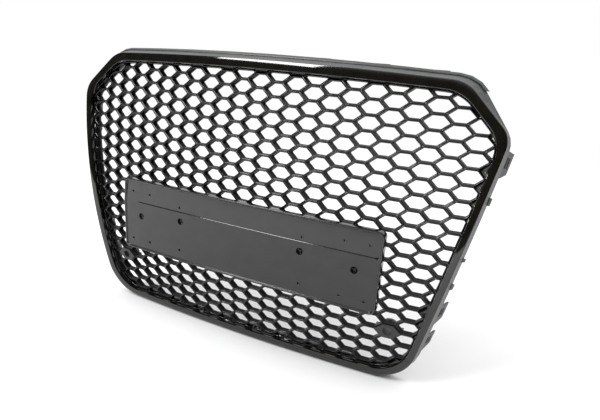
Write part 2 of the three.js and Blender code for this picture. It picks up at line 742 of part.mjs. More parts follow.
function bracketBody(side, length) {
  const wingLength = Math.hypot(WING_OUT, WING_RUN);
  const section = [
    [-14, BRACKET_SEAT],
    wingPoint(0, 0),
    wingPoint(wingLength, 0),
    wingPoint(wingLength, -BRACKET_SHEET),
    [-1.4, BRACKET_SEAT + BRACKET_SHEET],
    [-14, BRACKET_SEAT + BRACKET_SHEET],
  ];
  const half = length / 2;
  const corners = [[-half, -20], [half, -20], [half, 2], [half - 12, 14], [-half, 14]];
  const taper = corners.map(([along, out]) => new THREE.Vector2(along * side.mirror, out));
  const slots = WING_SLOTS.map(([low, high]) => {
    const band = [wingPoint(low, -6), wingPoint(low, 6), wingPoint(high, 6), wingPoint(high, -6)];
    return solid(sideBar(band, length * 0.4).translate(-4 * side.mirror, 0, 0));
  });
  const hole = solid(rod(SCREW_HOLE, 0, 30, 0, -9, 8));
  const wing = solid(sideBar(section, length)).intersect(solid(prism(taper, 0, 60)));
  return cut(wing, ...slots, hole);
}

// A foot on the rear ring and a wing that leans out past it, with two slots side by side.
function sideBracket(side, i) {
  const bracket = piece(
    `side_bracket_${side.name}_${i + 1}`,
    bracketBody(side, BRACKET_LENGTHS[i]),
    SATIN_BLACK,
  );
  const screwBody = solid(screwGeometry(3.4, 2.2, SCREW_SHANK, 11, 8));
  const screw = piece(`bracket_screw_${side.name}_${i + 1}`, screwBody, ZINC);
  screw.position.set(0, BRACKET_SEAT + BRACKET_SHEET + GAP, -9);
  const group = new THREE.Group();
  group.add(bracket, screw);
  group.applyMatrix4(downSide(side, BRACKET_SHARES[i]));
  return group;
}

function sideBrackets() {
  return SIDES.flatMap((side) => BRACKET_LENGTHS.map((_, i) => sideBracket(side, i)));
}

// ---- Assembly --------------------------------------------------------------------------------

const grille = new THREE.Group();
grille.add(
  surroundTrim(),
  carrierFrame(),
  honeycombMesh(),
  plateBase(),
  ...SIDES.map(sensorHolder),
  ...SIDES.map(sensorCollar),
  ...plateScrews(),
  ...trimScrews(),
  ...springNuts(),
  ...sideBrackets(),
);

export default grille;
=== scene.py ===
import json
import math
import bpy
from mathutils import Matrix, Vector
from mathutils.geometry import delaunay_2d_cdt


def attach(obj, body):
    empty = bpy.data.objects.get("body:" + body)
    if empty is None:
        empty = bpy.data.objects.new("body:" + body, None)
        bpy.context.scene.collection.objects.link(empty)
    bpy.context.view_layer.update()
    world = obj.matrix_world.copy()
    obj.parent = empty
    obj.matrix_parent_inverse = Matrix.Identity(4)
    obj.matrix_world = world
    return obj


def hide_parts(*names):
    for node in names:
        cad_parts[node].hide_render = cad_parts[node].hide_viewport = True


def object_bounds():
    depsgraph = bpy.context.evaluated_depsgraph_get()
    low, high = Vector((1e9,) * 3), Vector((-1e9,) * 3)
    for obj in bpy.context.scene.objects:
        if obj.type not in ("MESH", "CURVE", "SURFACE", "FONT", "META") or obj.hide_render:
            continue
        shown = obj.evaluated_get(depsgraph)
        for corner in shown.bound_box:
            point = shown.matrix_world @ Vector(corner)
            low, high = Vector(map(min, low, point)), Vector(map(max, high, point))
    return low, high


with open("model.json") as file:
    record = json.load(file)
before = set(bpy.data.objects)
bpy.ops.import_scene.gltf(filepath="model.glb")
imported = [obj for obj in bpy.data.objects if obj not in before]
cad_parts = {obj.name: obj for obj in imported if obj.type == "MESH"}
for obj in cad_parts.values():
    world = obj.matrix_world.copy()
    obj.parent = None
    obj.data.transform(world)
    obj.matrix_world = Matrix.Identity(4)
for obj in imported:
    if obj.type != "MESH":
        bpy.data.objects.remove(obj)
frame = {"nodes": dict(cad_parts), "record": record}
cad_low, cad_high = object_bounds()

# The black honeycomb grille's looks. Sizes are in millimetres, in the CAD part's frame:
# +X to the right of a person in front of the car, the front faces -Y, +Z up.
MM = 0.001

# ---- Driving dimensions, the same as the CAD part's ------------------------------------------

BOW_X = 1.464e-4
BOW_Z = 5.274e-4
CELL_RUN = 32.6
CELL_RISE = 24.8
CELL_FLAT = 18.5
WEB = 4.3
MESH_DEPTH = 13.0
COLUMN_FAN = 1.905e-4
ROW_ARCH = 1.952e-5
SMALLEST_CELL = 0.14
MESH_BORDER_IN = 3.0
MESH_BORDER_OUT = 1.0
FACE_OUTER = ((338.5, 251.5, 50), (411.2, 179, 37), (322.6, -248.5, 70))
FACE_INNER = ((333.4, 235.3, 60), (398.8, 169.9, 48), (313.2, -237.3, 66))
TOP_CROWN = 6.5
BOTTOM_CROWN = 1.5
SIDE_CROWN = 3.0
SIDE_MIDDLE = -40.0
SIDE_HALF = 212.0
FACE_FRONT = -18.6
FACE_LIP = -15.6
RING_JOINT = -13.0
WALL = 2.5
MESH_CLEARANCE = 0.5  # from the foot of the face ring to the honeycomb
PLATE_HALF_WIDTH = 264.0
PLATE_TOP = 14.0
PLATE_BOTTOM = -128.5
PLATE_CORNER = 10.0
PLATE_RIM_FRONT = -21.0
PLATE_FACE = -18.4
PLATE_THICK = 3.0
PLATE_BACK = -8.1
PLATE_BOW_X = 0.75e-4
CREASE_Z = -31.0
CREASE_TILT = 1.8
PLATE_FOOT_BOW = 7.85
PLATE_HOLES = ((243, -10.5), (201, -11.5), (127, -22), (244, -108.5), (201, -108.5), (127, -106.5))
PLATE_HOLE_RADIUS = 2.4
PLATE_HOLE_DEPTH = 2.2
PLATE_SCREWS = ((221.5, -58), (-221.5, -58), (124.5, -48), (-124.5, -48))
PLATE_RECESS = 6.0
PLATE_RECESS_DEPTH = 6.4
PANEL_COLUMNS = 7
PANEL_ROWS = 4.5
SLOT_WIDTH = 6.0
SLOT_TOP_ROW = -0.6
SLOT_BOTTOM_ROW = -3.9

# Finer steps than the CAD part's round its outlines.
ARC_STEPS = (12, 12, 16, 16, 12, 12)
EDGE_STEPS = (6, 48, 64, 48, 6, 60)


# ---- Outlines --------------------------------------------------------------------------------

def bow_at(x, z):
    return BOW_X * x * x + BOW_Z * z * z


def crowned(point):
    across_top = max(0.0, 1 - (point.x / FACE_OUTER[0][0]) ** 2)
    along_side = max(0.0, 1 - ((point.y - SIDE_MIDDLE) / SIDE_HALF) ** 2)
    crown = TOP_CROWN if point.y > 0 else BOTTOM_CROWN
    rise = crown * across_top * point.y / FACE_OUTER[0][1]
    bulge = SIDE_CROWN * along_side * point.x / FACE_OUTER[2][0]
    return Vector((point.x + bulge, point.y + rise))


def inset_corners(corners, inset):
    """The six corners, clockwise from the top right, moved inwards by a mitre."""
    loop = [(Vector((x, z)), radius) for x, z, radius in corners]
    loop += [(Vector((-x, z)), radius) for x, z, radius in reversed(corners)]
    count = len(loop)
    runs = [(loop[(i + 1) % count][0] - loop[i][0]).normalized() for i in range(count)]
    found = []
    for i, (at, radius) in enumerate(loop):
        before, after = runs[i - 1], runs[i]
        in_before = Vector((before.y, -before.x))
        in_after = Vector((after.y, -after.x))
        mitre = (in_before + in_after) * (inset / (1 + in_before.dot(in_after)))
        found.append((at + mitre, max(radius - inset, 1.0), before, in_before, before.angle(after)))
    return found


def outline(corners, inset=0.0):
    """The rounded outline as a list of points in x and z, clockwise."""
    arcs = []
    for i, (at, radius, before, in_before, turn) in enumerate(inset_corners(corners, inset)):
        start = at - before * (radius * math.tan(turn / 2))
        centre = start + in_before * radius
        arm = start - centre
        steps = ARC_STEPS[i]
        arcs.append([centre + Matrix.Rotation(-turn * k / steps, 2) @ arm for k in range(steps + 1)])
    points = []
    for i, arc in enumerate(arcs):
        following = arcs[(i + 1) % len(arcs)][0]
        points += arc
        points += [arc[-1].lerp(following, k / EDGE_STEPS[i]) for k in range(1, EDGE_STEPS[i])]
    return [crowned(p) for p in points]


# ---- Mesh helpers ----------------------------------------------------------------------------

def make_object(name, points, faces, finish, node=None):
    """A smooth-shaded piece from points in millimetres. It stands for the CAD node, if one is named."""
    mesh = bpy.data.meshes.new(name)
    mesh.from_pydata([(x * MM, y * MM, z * MM) for x, y, z in points], [], faces)
    mesh.validate()
    mesh.polygons.foreach_set("use_smooth", [True] * len(mesh.polygons))
    mesh.materials.append(finish)
    piece = bpy.data.objects.new(name, mesh)
    bpy.context.scene.collection.objects.link(piece)
    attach(piece, "root")
    if node:
        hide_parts(node)
    return piece


def keep_edges_crisp(piece, degrees=35.0):
    """Marks the sharp edges, so that smooth shading stops at them."""
    piece.data.set_sharp_from_angle(angle=math.radians(degrees))


def turned_outwards(points, faces):
    """The faces of a closed mesh, all turned the other way if they look inwards."""
    volume = 0.0
    for face in faces:
        a = Vector(points[face[0]])
        for k in range(1, len(face) - 1):
            volume += a.dot(Vector(points[face[k]]).cross(Vector(points[face[k + 1]])))
    return [tuple(reversed(f)) for f in faces] if volume < 0 else faces


def bowed(points):
    return [(x, y + bow_at(x, z), z) for x, y, z in points]


def loft(stations):
    """A ring whose section visits the stations (corners, inset, y) and closes on itself."""
    rings = [outline(corners, inset) for corners, inset, _ in stations]
    count = len(rings[0])
    points = [(p.x, stations[r][2], p.y) for r, ring in enumerate(rings) for p in ring]
    faces = []
    for r in range(len(rings)):
        here = r * count
        there = (r + 1) % len(rings) * count
        for k in range(count):
            k2 = (k + 1) % count
            faces.append((here + k, there + k, there + k2, here + k2))
    points = bowed(points)
    return points, turned_outwards(points, faces)


# ---- Materials -------------------------------------------------------------------------------

def new_material(name, metallic=0.0, specular=0.5, coat=0.0, coat_roughness=0.03):
    finish = bpy.data.materials.new(name)
    finish.use_nodes = True
    shader = finish.node_tree.nodes["Principled BSDF"]
    shader.inputs["Metallic"].default_value = metallic
    shader.inputs["Specular IOR Level"].default_value = specular
    shader.inputs["Coat Weight"].default_value = coat
    shader.inputs["Coat Roughness"].default_value = coat_roughness
    return finish, finish.node_tree, shader


def noise(tree, scale, detail=2.0, roughness=0.5, stretch=None):
    """A noise texture in the frame's own coordinates, in features per metre."""
    where = tree.nodes.new("ShaderNodeTexCoord").outputs["Object"]
    if stretch:
        mapping = tree.nodes.new("ShaderNodeMapping")
        mapping.inputs["Scale"].default_value = stretch
        tree.links.new(where, mapping.inputs["Vector"])
        where = mapping.outputs["Vector"]
    texture = tree.nodes.new("ShaderNodeTexNoise")
    texture.inputs["Scale"].default_value = scale
    texture.inputs["Detail"].default_value = detail
    texture.inputs["Roughness"].default_value = roughness
    tree.links.new(where, texture.inputs["Vector"])
    return texture.outputs["Fac"]


def ramp(tree, source, low, high, start=0.35, end=0.65):
    """Colours or greys spread between two levels of a source."""
    node = tree.nodes.new("ShaderNodeValToRGB")
    node.color_ramp.elements[0].position = start
    node.color_ramp.elements[1].position = end
    node.color_ramp.elements[0].color = low if len(low) == 4 else (*low, 1)
    node.color_ramp.elements[1].color = high if len(high) == 4 else (*high, 1)
    tree.links.new(source, node.inputs["Fac"])
    return node.outputs["Color"]


def spread(tree, source, low, high):
    """A number between low and high that follows a source from 0.3 to 0.7."""
    node = tree.nodes.new("ShaderNodeMapRange")
    node.inputs["From Min"].default_value = 0.3
    node.inputs["From Max"].default_value = 0.7
    node.inputs["To Min"].default_value = low
    node.inputs["To Max"].default_value = high
    tree.links.new(source, node.inputs["Value"])
    return node.outputs["Result"]


def bump(tree, source, depth_mm, previous=None):
    node = tree.nodes.new("ShaderNodeBump")
    node.inputs["Distance"].default_value = depth_mm * MM
    node.inputs["Strength"].default_value = 1.0
    tree.links.new(source, node.inputs["Height"])
    if previous:
        tree.links.new(previous, node.inputs["Normal"])
    return node.outputs["Normal"]


def eased(tree, source, start, end):
    """0 to 1 as a source goes from start to end."""
    node = tree.nodes.new("ShaderNodeMapRange")
    node.interpolation_type = "SMOOTHSTEP"
    node.inputs["From Min"].default_value = start
    node.inputs["From Max"].default_value = end
    tree.links.new(source, node.inputs["Value"])
    return node.outputs["Result"]


def times(tree, a, b):
    node = tree.nodes.new("ShaderNodeMath")
    node.operation = "MULTIPLY"
    tree.links.new(a, node.inputs[0])
    tree.links.new(b, node.inputs[1])
    return node.outputs["Value"]


def mixed(tree, share, a, b):
    """Colour a where the share is 0 and colour b where it is 1."""
    node = tree.nodes.new("ShaderNodeMix")
    node.data_type = "RGBA"
    tree.links.new(share, node.inputs["Factor"])
    for socket, value in ((node.inputs["A"], a), (node.inputs["B"], b)):
        if isinstance(value, tuple):
            socket.default_value = (*value, 1)
        else:
            tree.links.new(value, socket)
    return node.outputs["Result"]


def moulded(name, dark, light, roughness, waviness_mm, grain_mm, specular=0.5, coat=0.0):
    """Moulded plastic: mottled colour, uneven gloss, long shallow waves and fine grain."""
    finish, tree, shader = new_material(name, specular=specular, coat=coat)
    mottle = noise(tree, 45, 3)
    dust = noise(tree, 700, 4, 0.7)
    waves = noise(tree, 16, 1, 0.4)
    tree.links.new(ramp(tree, mottle, dark, light), shader.inputs["Base Color"])
    tree.links.new(spread(tree, dust, *roughness), shader.inputs["Roughness"])
    surface = bump(tree, waves, waviness_mm)
    tree.links.new(bump(tree, noise(tree, 2500, 2), grain_mm, surface), shader.inputs["Normal"])
    return finish


# Painted shade for the honeycomb's cell walls: a darker colour and a weaker reflection than on the forward
# faces.
WALL_PAINTED_SHADE_SPECULAR = 0.07
FRONT_SPECULAR = 0.6
WALL_PAINTED_SHADE_COLOUR = (0.0022, 0.0022, 0.0023)


def with_painted_wall_shade(name, *settings):
    """Moulded plastic with painted shade on the walls of its cells: faces that turn away from the front
    get a darker colour and a weaker reflection, for the shade inside the cells.
    """
    finish = moulded(name, *settings)
    tree = finish.node_tree
    shader = tree.nodes["Principled BSDF"]
    split = tree.nodes.new("ShaderNodeSeparateXYZ")
    tree.links.new(tree.nodes.new("ShaderNodeTexCoord").outputs["Normal"], split.inputs["Vector"])
    # 1 on forward faces, 0 on the cell walls, which get the painted shade.
    front = eased(tree, split.outputs["Y"], -0.35, -0.85)
    level = tree.nodes.new("ShaderNodeMapRange")
    level.inputs["To Min"].default_value = WALL_PAINTED_SHADE_SPECULAR
    level.inputs["To Max"].default_value = FRONT_SPECULAR
    tree.links.new(front, level.inputs["Value"])
    tree.links.new(level.outputs["Result"], shader.inputs["Specular IOR Level"])
    colour = shader.inputs["Base Color"].links[0].from_socket
    # Painted shade: the cell walls take the dark wall colour in place of the mottled one.
    tree.links.new(mixed(tree, front, WALL_PAINTED_SHADE_COLOUR, colour), shader.inputs["Base Color"])
    return finish


GLOSS_BLACK = moulded("gloss_black", (0.0035, 0.0034, 0.0028), (0.0065, 0.0062, 0.005),
                      (0.045, 0.085), 0.10, 0.0006, coat=0.35)
# The honeycomb's material, with painted shade on its cell walls.
MESH_BLACK = with_painted_wall_shade("mesh_black", (0.003, 0.003, 0.0031), (0.007, 0.007, 0.0073),
                            (0.12, 0.22), 0.12, 0.002)
SATIN_BLACK = moulded("satin_black", (0.030, 0.031, 0.032), (0.042, 0.043, 0.045),
                      (0.34, 0.46), 0.05, 0.006)
PLATE_BLACK = moulded("plate_black", (0.004, 0.004, 0.0038), (0.009, 0.009, 0.0087),
                      (0.08, 0.14), 0.5, 0.002, coat=0.3)
TEXTURED_BLACK = moulded("textured_black", (0.018, 0.018, 0.019), (0.030, 0.030, 0.031),
                         (0.42, 0.58), 0.02, 0.02)


def zinc_plate():
    finish, tree, shader = new_material("zinc", metallic=0.92)
    spangle = noise(tree, 420, 4, 0.6)
    colour = ramp(tree, spangle, (0.36, 0.37, 0.35), (0.62, 0.62, 0.58))
    tree.links.new(colour, shader.inputs["Base Color"])
    tree.links.new(spread(tree, noise(tree, 900, 3), 0.26, 0.42), shader.inputs["Roughness"])
    tree.links.new(bump(tree, spangle, 0.01), shader.inputs["Normal"])
    return finish


ZINC = zinc_plate()
BLACK_ZINC = moulded("black_zinc", (0.004, 0.004, 0.004), (0.009, 0.009, 0.009),
                     (0.16, 0.26), 0.02, 0.002)
SLOT_FINISH = {
    "gloss_black": GLOSS_BLACK,
    "mesh_black": MESH_BLACK,
    "satin_black": SATIN_BLACK,
    "plate_black": PLATE_BLACK,
    "textured_black": TEXTURED_BLACK,
    "zinc": ZINC,
    "black_zinc": BLACK_ZINC,
}


# ---- Honeycomb -------------------------------------------------------------------------------

# From front to back down the wall of a cell: how far in from the wall, and the depth.
CELL_SECTION = (
    (-1.2, -6.5), (-0.8, -6.44), (-0.42, -6.25), (-0.14, -5.95), (0.0, -5.5), (0.05, -1.8),
    (0.1, 0.6), (0.55, 1.0), (0.65, 1.6), (0.65, 5.8), (0.45, 6.3), (0.1, 6.5),
)
CELL_CORNER = 1.7
CORNER_STEPS = 3


def pattern_point(run, level):
    """A point of the flat pattern, where the fanned columns and arched rows put it."""
    return Vector((run * (1 + COLUMN_FAN * level), level + ROW_ARCH * run * run))


def cell_corners(column, row, inset):
    slant_run = CELL_RUN - CELL_FLAT
    half_rise = CELL_RISE / 2
    tip = CELL_FLAT / 2 + slant_run - inset * math.hypot(slant_run, half_rise) / half_rise
    top = half_rise - inset
    shoulder = tip - top * slant_run / half_rise
    flat = ((tip, 0), (shoulder, top), (-shoulder, top), (-tip, 0), (-shoulder, -top), (shoulder, -top))
    return [pattern_point(column * CELL_RUN + x, row * CELL_RISE + z) for x, z in flat]


def cross(a, b):
    return a.x * b.y - a.y * b.x


def area(loop):
    return sum(cross(p, loop[(i + 1) % len(loop)]) for i, p in enumerate(loop)) / 2


def clipped(cell, border):
    """The part of a convex cell inside a convex outline that runs clockwise."""
    kept = cell
    for i, start in enumerate(border):
        along = border[(i + 1) % len(border)] - start
        depths = [-cross(along, p - start) for p in kept]
        if min(depths) >= 0:
            continue
        inside = []
        for k, p in enumerate(kept):
            k2 = (k + 1) % len(kept)
            if depths[k] >= 0:
                inside.append(p)
            if depths[k] * depths[k2] < 0:
                inside.append(p.lerp(kept[k2], depths[k] / (depths[k] - depths[k2])))
        kept = inside
        if len(kept) < 3:
            return []
    return kept


def simplified(loop, shortest=2.2):
    """The loop with its short edges shrunk to points."""
    loop = list(loop)
    while len(loop) > 3:
        lengths = [(loop[(i + 1) % len(loop)] - p).length for i, p in enumerate(loop)]
        i = lengths.index(min(lengths))
        if lengths[i] > shortest:
            break
        j = (i + 1) % len(loop)
        loop[i] = (loop[i] + loop[j]) / 2
        del loop[j]
    return loop


def rounded_loop(corners, inset, radius=CELL_CORNER, steps=CORNER_STEPS):
    """An anticlockwise convex loop moved inwards, with every corner turned into a short arc."""
    count = len(corners)
    runs = [(corners[(i + 1) % count] - p).normalized() for i, p in enumerate(corners)]
    moved = []
    for i, p in enumerate(corners):
        in_before = Vector((-runs[i - 1].y, runs[i - 1].x))
        in_after = Vector((-runs[i].y, runs[i].x))
        moved.append(p + (in_before + in_after) * (inset / (1 + in_before.dot(in_after))))
    points = []
    for i, p in enumerate(moved):
        before, after = moved[i - 1], moved[(i + 1) % count]
        turn = runs[i - 1].angle(runs[i])
        room = 0.45 * min((p - before).length, (after - p).length)
        reach = min(max(radius - inset, 0.3) * math.tan(turn / 2), room)
        start = p + (before - p).normalized() * reach
        end = p + (after - p).normalized() * reach
        for k in range(steps + 1):
            t = k / steps
            points.append(start.lerp(p, t).lerp(p.lerp(end, t), t))
    return points


def behind_plate(column, row):
    return abs(column) <= PANEL_COLUMNS and -PANEL_ROWS <= row <= 0


def honeycomb_openings():
    border = outline(FACE_INNER, MESH_BORDER_IN)
    whole_area = area(cell_corners(0, 0, WEB / 2))
    openings = []
    for column in range(-13, 14):
        odd = column % 2
        for step in range(-10 - odd, 12):
            row = step + odd / 2
            cell = clipped(cell_corners(column, row, WEB / 2), border)
            if len(cell) > 2 and area(cell) > SMALLEST_CELL * whole_area and not behind_plate(column, row):
                openings.append(simplified(cell))
    half = SLOT_WIDTH / 2
    for column in range(-PANEL_COLUMNS, PANEL_COLUMNS + 1):
        top = pattern_point(column * CELL_RUN, SLOT_TOP_ROW * CELL_RISE)
        bottom = pattern_point(column * CELL_RUN, SLOT_BOTTOM_ROW * CELL_RISE)
        openings.append([
            bottom + Vector((0, -half)), bottom + Vector((half, 0)), top + Vector((half, 0)),
            top + Vector((0, half)), top + Vector((-half, 0)), bottom + Vector((-half, 0)),
        ])
    return openings


def sheet_faces(loops, flip, free_points=()):
    """Triangles between an outer loop, the first one, and the openings inside it.

    A loop is its first vertex's number and its points in x and z. A free point is the same for one vertex.
    """
    flat, edges, owner = [], [], []
    for number, (offset, loop) in enumerate(loops):
        base = len(flat)
        flat += loop
        owner += [(number, offset + k) for k in range(len(loop))]
        edges += [(base + k, base + (k + 1) % len(loop)) for k in range(len(loop))]
    for index, point in free_points:
        flat.append(point)
        owner.append((-1, index))
    points, _, triangles, origins, _, _ = delaunay_2d_cdt(flat, edges, [], 0, 1e-6)
    source = [ids[0] for ids in origins]
    faces = []
    for triangle in triangles:
        ids = [owner[source[v]] for v in triangle]
        numbers = {number for number, _ in ids}
        if len(numbers) == 1 and numbers.isdisjoint({0, -1}):
            continue
        a, b, c = (points[v] for v in triangle)
        corners = [index for _, index in ids]
        upright = cross(b - a, c - a) > 0
        faces.append(tuple(corners if upright != flip else reversed(corners)))
    return faces


def join_rings(points, faces, rings, outwards=True):
    """Adds rings of the same length, joined by quads. Tells where the first and the last one start."""
    base, count = len(points), len(rings[0])
    for ring in rings:
        points.extend(ring)
    for r in range(len(rings) - 1):
        here = base + r * count
        there = here + count
        for k in range(count):
            k2 = (k + 1) % count
            quad = (here + k, there + k, there + k2, here + k2)
            faces.append(quad if outwards else tuple(reversed(quad)))
    return base, base + (len(rings) - 1) * count


def honeycomb_mesh():
    """The honeycomb: a front sheet and a back sheet, joined by its edge and by the walls of its cells."""
    openings = honeycomb_openings()
    front, back = CELL_SECTION[0][1], CELL_SECTION[-1][1]
    outer = outline(FACE_INNER, -MESH_BORDER_OUT)
    edge_section = ((outer, front), (outer, back))
    points, faces = [], []
    front_loops, back_loops = [], []

    def add_wall(section):
        rings = [[(p.x, y, p.y) for p in loop] for loop, y in section]
        first, last = join_rings(points, faces, rings)
        front_loops.append((first, section[0][0]))
        back_loops.append((last, section[-1][0]))

    add_wall(edge_section)
    for opening in openings:
        add_wall([(rounded_loop(opening, inset), y) for inset, y in CELL_SECTION])
    faces.extend(sheet_faces(front_loops, False))
    faces.extend(sheet_faces(back_loops, True))
    make_object("honeycomb_fine", bowed(points), faces, MESH_BLACK, "honeycomb_mesh")


# ---- Rings -----------------------------------------------------------------------------------

def surround_trim():
    """The gloss face ring: outer wall, bevelled front, lip that rounds over into the inner wall."""
    foot = -MESH_DEPTH / 2 - MESH_CLEARANCE
    stations = [
        (FACE_OUTER, 0.0, RING_JOINT),
        (FACE_OUTER, 0.0, FACE_FRONT + 2.2),
        (FACE_OUTER, 0.12, FACE_FRONT + 1.35),
        (FACE_OUTER, 0.5, FACE_FRONT + 0.65),
        (FACE_OUTER, 1.1, FACE_FRONT + 0.2),
        (FACE_OUTER, 2.0, FACE_FRONT + 0.02),
        (FACE_INNER, -3.2, FACE_LIP - 0.75),
        (FACE_INNER, -1.5, FACE_LIP - 0.4),
        (FACE_INNER, -0.7, FACE_LIP - 0.12),
        (FACE_INNER, -0.2, FACE_LIP + 0.3),
        (FACE_INNER, 0.0, FACE_LIP + 1.0),
        (FACE_INNER, 0.0, foot),
        (FACE_INNER, -WALL, foot),
        (FACE_INNER, -WALL, FACE_LIP + WALL),
        (FACE_OUTER, WALL, FACE_FRONT + WALL),
        (FACE_OUTER, WALL, RING_JOINT),
    ]
    points, faces = loft(stations)
    piece = make_object("surround_trim_fine", points, faces, GLOSS_BLACK, "surround_trim")
    keep_edges_crisp(piece)


# ---- Number plate base -----------------------------------------------------------------------

STEP_DEPTH = 0.55  # the band above the crease stands this much further back
STEP_RUN = 1.5
STEP_STARTS = (-230, -220)
SINK_DEPTH = 0.16  # the moulding sinks in round each hole
SINK_RADIUS = 7.0
HOLLOWS = ((92, -88), (40, -92), (236, -62))  # centres of the wide shallow hollows in the face
HOLLOW_DEPTH = 2.2 * SINK_DEPTH
HOLLOW_HALF_WIDTH = 16.0
HOLLOW_HALF_HEIGHT = 9.0
SHANK_HOLE = 2.4  # radius of the way through for a plate base screw
POST_RADIUS = 8.5  # of the post round each screw, behind the face
HOLE_ROUNDING = 0.5
RECESS_ROUNDING = 0.6
HOLE_STEPS = 16
RECESS_STEPS = 24
COLUMN_STEP = 5.15  # between the columns of points that carry the face's curve
COLUMNS_EACH_WAY = 49
BACK_COLUMN = 4  # the plain back of the face has points on every fourth column
FACE_MARGIN = 8.0  # no such points this near the top and the bottom edge
HOLE_MARGIN = 0.8  # nor this near a hole

# Across the rim, from its outer edge to the face: inset, depth and tilt above the crease.
RIM_SECTION = (
    (0.0, PLATE_RIM_FRONT + 1.1, 0.6),
    (0.12, PLATE_RIM_FRONT + 0.55, 0.6),
    (0.45, PLATE_RIM_FRONT + 0.17, 0.6),
    (1.0, PLATE_RIM_FRONT + 0.04, 0.6),
    (2.3, PLATE_RIM_FRONT + 0.04, 0.6),
    (2.9, PLATE_RIM_FRONT + 0.2, 0.6),
    (3.3, PLATE_RIM_FRONT + 0.7, 0.7),
    (3.45, PLATE_FACE - 1.2, 1.2),
    (3.7, PLATE_FACE - 0.5, 1.5),
    (4.3, PLATE_FACE - 0.12, 1.7),
    (5.2, PLATE_FACE, CREASE_TILT),
)


def smooth(t):
    t = min(max(t, 0.0), 1.0)
    return t * t * (3 - 2 * t)


def plate_bow(x, z, tilt, bow=PLATE_BOW_X):
    below = max(0.0, (CREASE_Z - z) / (CREASE_Z - PLATE_BOTTOM))
    above = max(0.0, (z - CREASE_Z) / (PLATE_TOP - CREASE_Z))
    return bow * x * x + PLATE_FOOT_BOW * below + tilt * above


def plate_face(x, z):
    """The depth of the base's face: bowed, bent at the crease, sunk in round its holes."""
    y = PLATE_FACE + plate_bow(x, z, CREASE_TILT)
    start, end = STEP_STARTS
    y += STEP_DEPTH * smooth((z - CREASE_Z) / STEP_RUN) * smooth((x - start) / (end - start))
    for hole_x, hole_z in PLATE_HOLES:
        away = math.hypot(abs(x) - hole_x, z - hole_z)
        y += SINK_DEPTH * math.exp(-(away / SINK_RADIUS) ** 2)
    for middle_x, middle_z in HOLLOWS:
        across = (x - middle_x) / HOLLOW_HALF_WIDTH
        up = (z - middle_z) / HOLLOW_HALF_HEIGHT
        y += HOLLOW_DEPTH * math.exp(-across ** 2 - up ** 2)
    return y


def plate_outline(inset):
    """The rounded rectangle, clockwise from the top right, as points in x and z."""
    right, top = PLATE_HALF_WIDTH - inset, PLATE_TOP - inset
    bottom = PLATE_BOTTOM + inset
    radius = PLATE_CORNER - inset * 0.6
    corners = (
        (right, top, 1, 1, 90),
        (right, bottom, 1, -1, 0),
        (-right, bottom, -1, -1, -90),
        (-right, top, -1, 1, 180),
    )
    points = []
    for i, (x, z, side, rise, angle) in enumerate(corners):
        centre = Vector((x - side * radius, z - rise * radius))
        for k in range(9):
            turn = math.radians(angle - 90 * k / 8)
            points.append(centre + radius * Vector((math.cos(turn), math.sin(turn))))
        x2, z2, side2, rise2, _ = corners[(i + 1) % 4]
        start = points[-1].copy()
        upright = x == x2
        end = Vector((x, z2 - rise2 * radius)) if upright else Vector((x2 - side2 * radius, z))
        steps = 28 if upright else 66
        points += [start.lerp(end, k / steps) for k in range(1, steps)]
    return points


def circle(x, z, radius, steps=HOLE_STEPS):
    turns = (2 * math.pi * k / steps for k in range(steps))
    return [Vector((x + radius * math.cos(t), z + radius * math.sin(t))) for t in turns]


def back_of_face(x, z):
    return PLATE_FACE + PLATE_THICK + plate_bow(x, z, CREASE_TILT)


def back_edge(x, z):
    return PLATE_BACK + plate_bow(x, z, 0, BOW_X)


def face_rows():
    """Heights of the points that carry the face's curve, close together over the step at the crease."""
    step_top = CREASE_Z + 1.6 * STEP_RUN
    step_bottom = CREASE_Z - 0.6 * STEP_RUN
    top, bottom = PLATE_TOP - FACE_MARGIN, PLATE_BOTTOM + FACE_MARGIN
    rows = [CREASE_Z + STEP_RUN * share for share in (-0.6, 0, 0.2, 0.4, 0.6, 0.8, 1, 1.6)]
    rows += [step_top + (top - step_top) * k / 6 for k in range(1, 7)]
    rows += [bottom + (step_bottom - bottom) * k / 18 for k in range(18)]
    return rows


def hole_section(x, z):
    """From the face down a blind hole: circles and their depths."""
    r = PLATE_HOLE_RADIUS
    return [
        (circle(x, z, r + HOLE_ROUNDING), plate_face),
        (circle(x, z, r + 0.15), lambda x, z: plate_face(x, z) + 0.15),
        (circle(x, z, r), lambda x, z: plate_face(x, z) + 0.5),
        (circle(x, z, r), lambda x, z: plate_face(x, z) + PLATE_HOLE_DEPTH),
    ]


def recess_section(x, z):
    """From the face down a screw's recess, through its floor and back up round the post."""
    seat = PLATE_FACE + PLATE_RECESS_DEPTH + plate_bow(x, z, CREASE_TILT)
    foot = PLATE_BACK + bow_at(x, z)
    section = [
        (PLATE_RECESS + RECESS_ROUNDING, plate_face),
        (PLATE_RECESS + 0.2, lambda x, z: plate_face(x, z) + 0.12),
        (PLATE_RECESS, lambda x, z: plate_face(x, z) + 0.55),
        (PLATE_RECESS, lambda x, z: seat - 0.5),
        (PLATE_RECESS - 0.5, lambda x, z: seat),
        (SHANK_HOLE, lambda x, z: seat),
        (SHANK_HOLE, lambda x, z: foot),
        (POST_RADIUS, lambda x, z: foot),
        (POST_RADIUS, back_of_face),
    ]
    return [(circle(x, z, radius, RECESS_STEPS), depth) for radius, depth in section]


def rim_section():
    """From the back of the face, round the base's outer wall and over the rim to the face."""
    section = [
        (plate_outline(WALL), back_of_face),
        (plate_outline(WALL), back_edge),
        (plate_outline(0), back_edge),
    ]
    for inset, y, tilt in RIM_SECTION[:-1]:
        section.append((plate_outline(inset), lambda x, z, y=y, tilt=tilt: y + plate_bow(x, z, tilt)))
    section.append((plate_outline(RIM_SECTION[-1][0]), plate_face))
    return section


